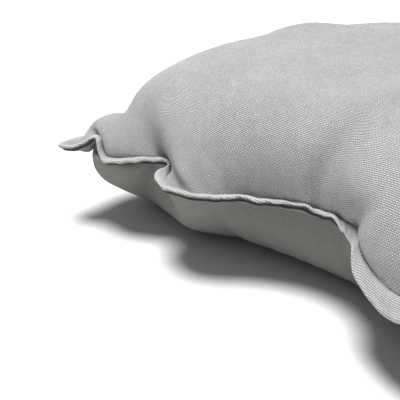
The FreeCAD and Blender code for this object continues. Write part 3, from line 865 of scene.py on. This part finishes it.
for sign, name, replaced in (
    (1, "zip_spiral_upper", "zip_coil_upper"), (-1, "zip_spiral_lower", "zip_coil_lower"),
):
    low, high = (Vector(c) * 1000 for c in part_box(replaced))
    turns = int((high.x - low.x - 2 * COIL_END) / COIL_PITCH)
    phase = np.linspace(0, 2 * np.pi * turns, turns * COIL_STEPS + 1)
    x = low.x + COIL_END + COIL_PITCH * (phase / (2 * np.pi) + (0.5 if sign < 0 else 0))
    middle = (low.y + high.y) / 2
    centre = (low.z + high.z) / 2 - sign * COIL_OFF
    path = np.stack([x, middle + COIL_DEEP * np.sin(phase), centre + sign * COIL_HIGH * np.cos(phase)], 1)
    hub = np.stack([x, np.full_like(x, middle), np.full_like(x, centre)], 1)
    p, f = tube(path, unit(path - hub), WIRE)
    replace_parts(piece(name, p, f, nylon), replaced)

for name in ("zip_top_stops", "zip_bottom_stop", "zip_slider", "zip_pull"):
    mesh = node[name].data
    mesh.materials.clear()
    mesh.materials.append(zip_metal)

# ---------------------------------------------------------------- inner bag and filling
# Rounds that wear the panel's height down, blur of its plan and of its height in rows, and the reach in plan
# over which the depth is taken off.
WORN_DOWN, PLAN_BLUR, HEIGHT_BLUR, PLAN_REACH = 6, 4.0, 2.5, 150
# Depth under the cover, outer rows left out and step between rows, for the bag and for the wadding.
BAG, FILLING = (2.0, 16, 2), (3.2, 18, 3)
# Thickness of the lining and radius of its thread.
LINING, LINER_THREAD = 0.25, 0.2
# Inner face of the wadding: distance from the foam, from the middle and from the outer face, its narrower plan,
# how much earlier it leaves the foam across the pad, and where and over what length it comes down.
FOAM_CLEAR, MIDDLE_CLEAR, LEAST_THICK, INNER_PLAN = 0.4, 0.2, 0.3, 0.985
ACROSS_EARLY, DOWN_FROM, DOWN_LENGTH = 4, 1, 9
# Foam block: distance inside its CAD solid, radius of its upright corners and of its edges, steps of a round.
FOAM_INSET, FOAM_CORNER, FOAM_EDGE, FOAM_STEPS = [8, 12, 0.5], 12, 3.0, 5


def shrunk(layer, depth, rim, step):
    """A calmer panel that stays inside the cover by depth, without its outer rows, on a coarser grid."""
    x = panels[layer].astype(float).copy()
    sign = 1 - 2 * layer
    height = sign * x[..., 2]
    for _ in range(WORN_DOWN):
        for axis in (0, 1):
            ahead, behind = np.roll(height, -1, axis), np.roll(height, 1, axis)
            height = np.minimum(height, np.minimum(ahead, behind))
    for axis in (0, 1):
        turned = np.moveaxis(x, axis, 0)
        blurred = [smoothed(turned[:, k], PLAN_BLUR) for k in range(turned.shape[1])]
        x = np.moveaxis(np.stack(blurred, 1), 0, axis)
        height = np.moveaxis(smoothed(np.moveaxis(height, axis, 0), HEIGHT_BLUR), 0, axis)
    x[..., :2] *= 1 - depth / PLAN_REACH
    x[..., 2] = sign * (height - depth)
    pick_i, pick_j = (np.unique(np.r_[np.arange(rim, n - rim, step), n - 1 - rim]) for n in (ni, nj))
    return x[np.ix_(pick_i, pick_j)]


def rim_of(index):
    """Vertex numbers round the edge of a grid."""
    return np.concatenate([index[:, 0], index[-1, 1:], index[-2::-1, -1], index[0, -2:0:-1]])


def drawn_together(size):
    """Lower and upper shrunk panel, with their edges brought to one line between them."""
    low, high = shrunk(1, *size), shrunk(0, *size)
    for cut in (np.s_[0], np.s_[-1], np.s_[:, 0], np.s_[:, -1]):
        middle = (low[cut] + high[cut]) / 2
        low[cut], high[cut] = middle, middle
    return low, high


bag_low, bag_high = drawn_together(BAG)
for x, name, replaced, layer in (
    (bag_high, "liner_bag_upper", "liner_upper", 0), (bag_low, "liner_bag_lower", "liner_lower", 1),
):
    points = x.reshape(-1, 3)
    faces = grid_faces(grid_index(x.shape), flip=layer == 1)
    made = piece(name, points, faces, lining, uv=points[:, :2])
    finish_mesh(made, thickness=LINING)
    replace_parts(made, replaced)
around = rim_of(grid_index(bag_low.shape))
edge = bag_low.reshape(-1, 3)[np.r_[around, around[:1]]]
p, f = stitches(edge, np.tile([0, 0, 1.0], (len(edge), 1)), radius=LINER_THREAD)
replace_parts(piece("liner_stitches", p, f, liner_thread), "liner_seam_thread")

foam_low, foam_high = (np.array(c) * 1000 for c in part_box("foam_core"))
fill_low, fill_high = drawn_together(FILLING)
for x, name, replaced, sign in (
    (fill_high, "wadding_top", "wadding_upper", 1), (fill_low, "wadding_bottom", "wadding_lower", -1),
):
    outside = np.maximum(np.abs(x[..., 0]) - foam_high[0], np.abs(x[..., 1]) - foam_high[1] + ACROSS_EARLY)
    lift = smoothstep(np.clip(1 - (outside - DOWN_FROM) / DOWN_LENGTH, 0, 1))
    face = (foam_high[2] if sign > 0 else foam_low[2]) + sign * FOAM_CLEAR
    inner = x.copy()
    inner[..., :2] *= INNER_PLAN
    height = (SEAM_Z + sign * MIDDLE_CLEAR) * (1 - lift) + face * lift
    nearer = np.minimum if sign > 0 else np.maximum
    inner[..., 2] = nearer(height, x[..., 2] - sign * LEAST_THICK)
    top = grid_index(x.shape)
    ring = rim_of(top)
    ring = np.r_[ring, ring[:1]]
    skirt = np.stack([ring, ring + top.size])
    faces = [grid_faces(top, sign < 0), grid_faces(top + top.size, sign > 0), grid_faces(skirt, sign > 0)]
    points = np.vstack([x.reshape(-1, 3), inner.reshape(-1, 3)])
    made = piece(name, points, np.vstack(faces), wadding)
    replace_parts(made, replaced)


def rounded_block(low, high, radius, corner, steps):
    """Points and faces of a block with rounded edges and rounder upright corners, as a grid round it."""
    angle = np.linspace(0, np.pi / 2, steps)
    rows = [(high[2] - radius + radius * math.cos(a), radius * (1 - math.sin(a))) for a in angle]
    rows += [(low[2] + radius - radius * math.sin(a), radius * (1 - math.cos(a))) for a in angle]
    rings = []
    for z, inset in rows:
        ring = []
        for k, (sx, sy) in enumerate(((1, 1), (-1, 1), (-1, -1), (1, -1))):
            turn = np.linspace(k * np.pi / 2, (k + 1) * np.pi / 2, steps)
            cx = (high[0] if sx > 0 else low[0]) - sx * corner
            cy = (high[1] if sy > 0 else low[1]) - sy * corner
            round_ = corner - inset
            ring += [(cx + round_ * math.cos(t), cy + round_ * math.sin(t), z) for t in turn]
        rings.append(ring)
    points = np.array(rings)
    return points.reshape(-1, 3), wrapped_faces(grid_index(points.shape))


p, f = rounded_block(foam_low + FOAM_INSET, foam_high - FOAM_INSET, FOAM_EDGE, FOAM_CORNER, FOAM_STEPS)
made = piece("foam_block", p, f, foam)
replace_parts(made, "foam_core")

# ---------------------------------------------------------------- floor, light and camera
# Half the side of the floor in metres, strength of the surroundings, and strength, angle and direction of the
# light from above.
FLOOR, SURROUNDINGS = 20, 0.22
LIGHT, LIGHT_ANGLE, LIGHT_WAY = 5.3, math.radians(27), Vector((0.18, -0.02, -1))
# Camera: place in metres, direction in plan, angle down, and lens and sensor width in millimetres.
CAMERA, VIEW, LOOK_DOWN = (0.103, -0.322, 0.172), Vector((-0.731, 0.682, 0)).normalized(), math.radians(25)
LENS, SENSOR, NEAR_CLIP = 63, 36, 0.01

scene = bpy.context.scene
paper = Shader("paper", 0.9, specular=0.1)
paper.bump(paper.noise(paper.place(), 60.0, 3.0), 0.0001)
paper.colour(paper.mix(paper.noise(paper.place(), 3.0), (0.70, 0.70, 0.70), (0.73, 0.73, 0.73)))
ground = bpy.data.meshes.new("floor")
square = [(-FLOOR, -FLOOR, 0), (FLOOR, -FLOOR, 0), (FLOOR, FLOOR, 0), (-FLOOR, FLOOR, 0)]
ground.from_pydata(square, [], [(0, 1, 2, 3)])
ground.materials.append(paper.material)
floor = bpy.data.objects.new("floor", ground)
scene.collection.objects.link(floor)

world = bpy.data.worlds.new("studio")
scene.world = world
world.use_nodes = True
background = world.node_tree.nodes["Background"]
background.inputs["Color"].default_value = (1, 1, 1, 1)
background.inputs["Strength"].default_value = SURROUNDINGS
scene.view_settings.view_transform = "Standard"

softbox = bpy.data.lights.new("softbox", "SUN")
softbox.energy, softbox.angle = LIGHT, LIGHT_ANGLE
lamp = bpy.data.objects.new("softbox", softbox)
lamp.rotation_mode = "QUATERNION"
lamp.rotation_quaternion = LIGHT_WAY.to_track_quat("-Z", "Y")
scene.collection.objects.link(lamp)

lens = bpy.data.cameras.new("camera")
lens.sensor_width, lens.lens, lens.clip_start = SENSOR, LENS, NEAR_CLIP
camera = bpy.data.objects.new("camera", lens)
camera.location = CAMERA
camera.rotation_mode = "QUATERNION"
look = VIEW * math.cos(LOOK_DOWN) - Vector((0, 0, math.sin(LOOK_DOWN)))
camera.rotation_quaternion = look.to_track_quat("-Z", "Y")
scene.collection.objects.link(camera)
bpy.context.scene.camera = camera
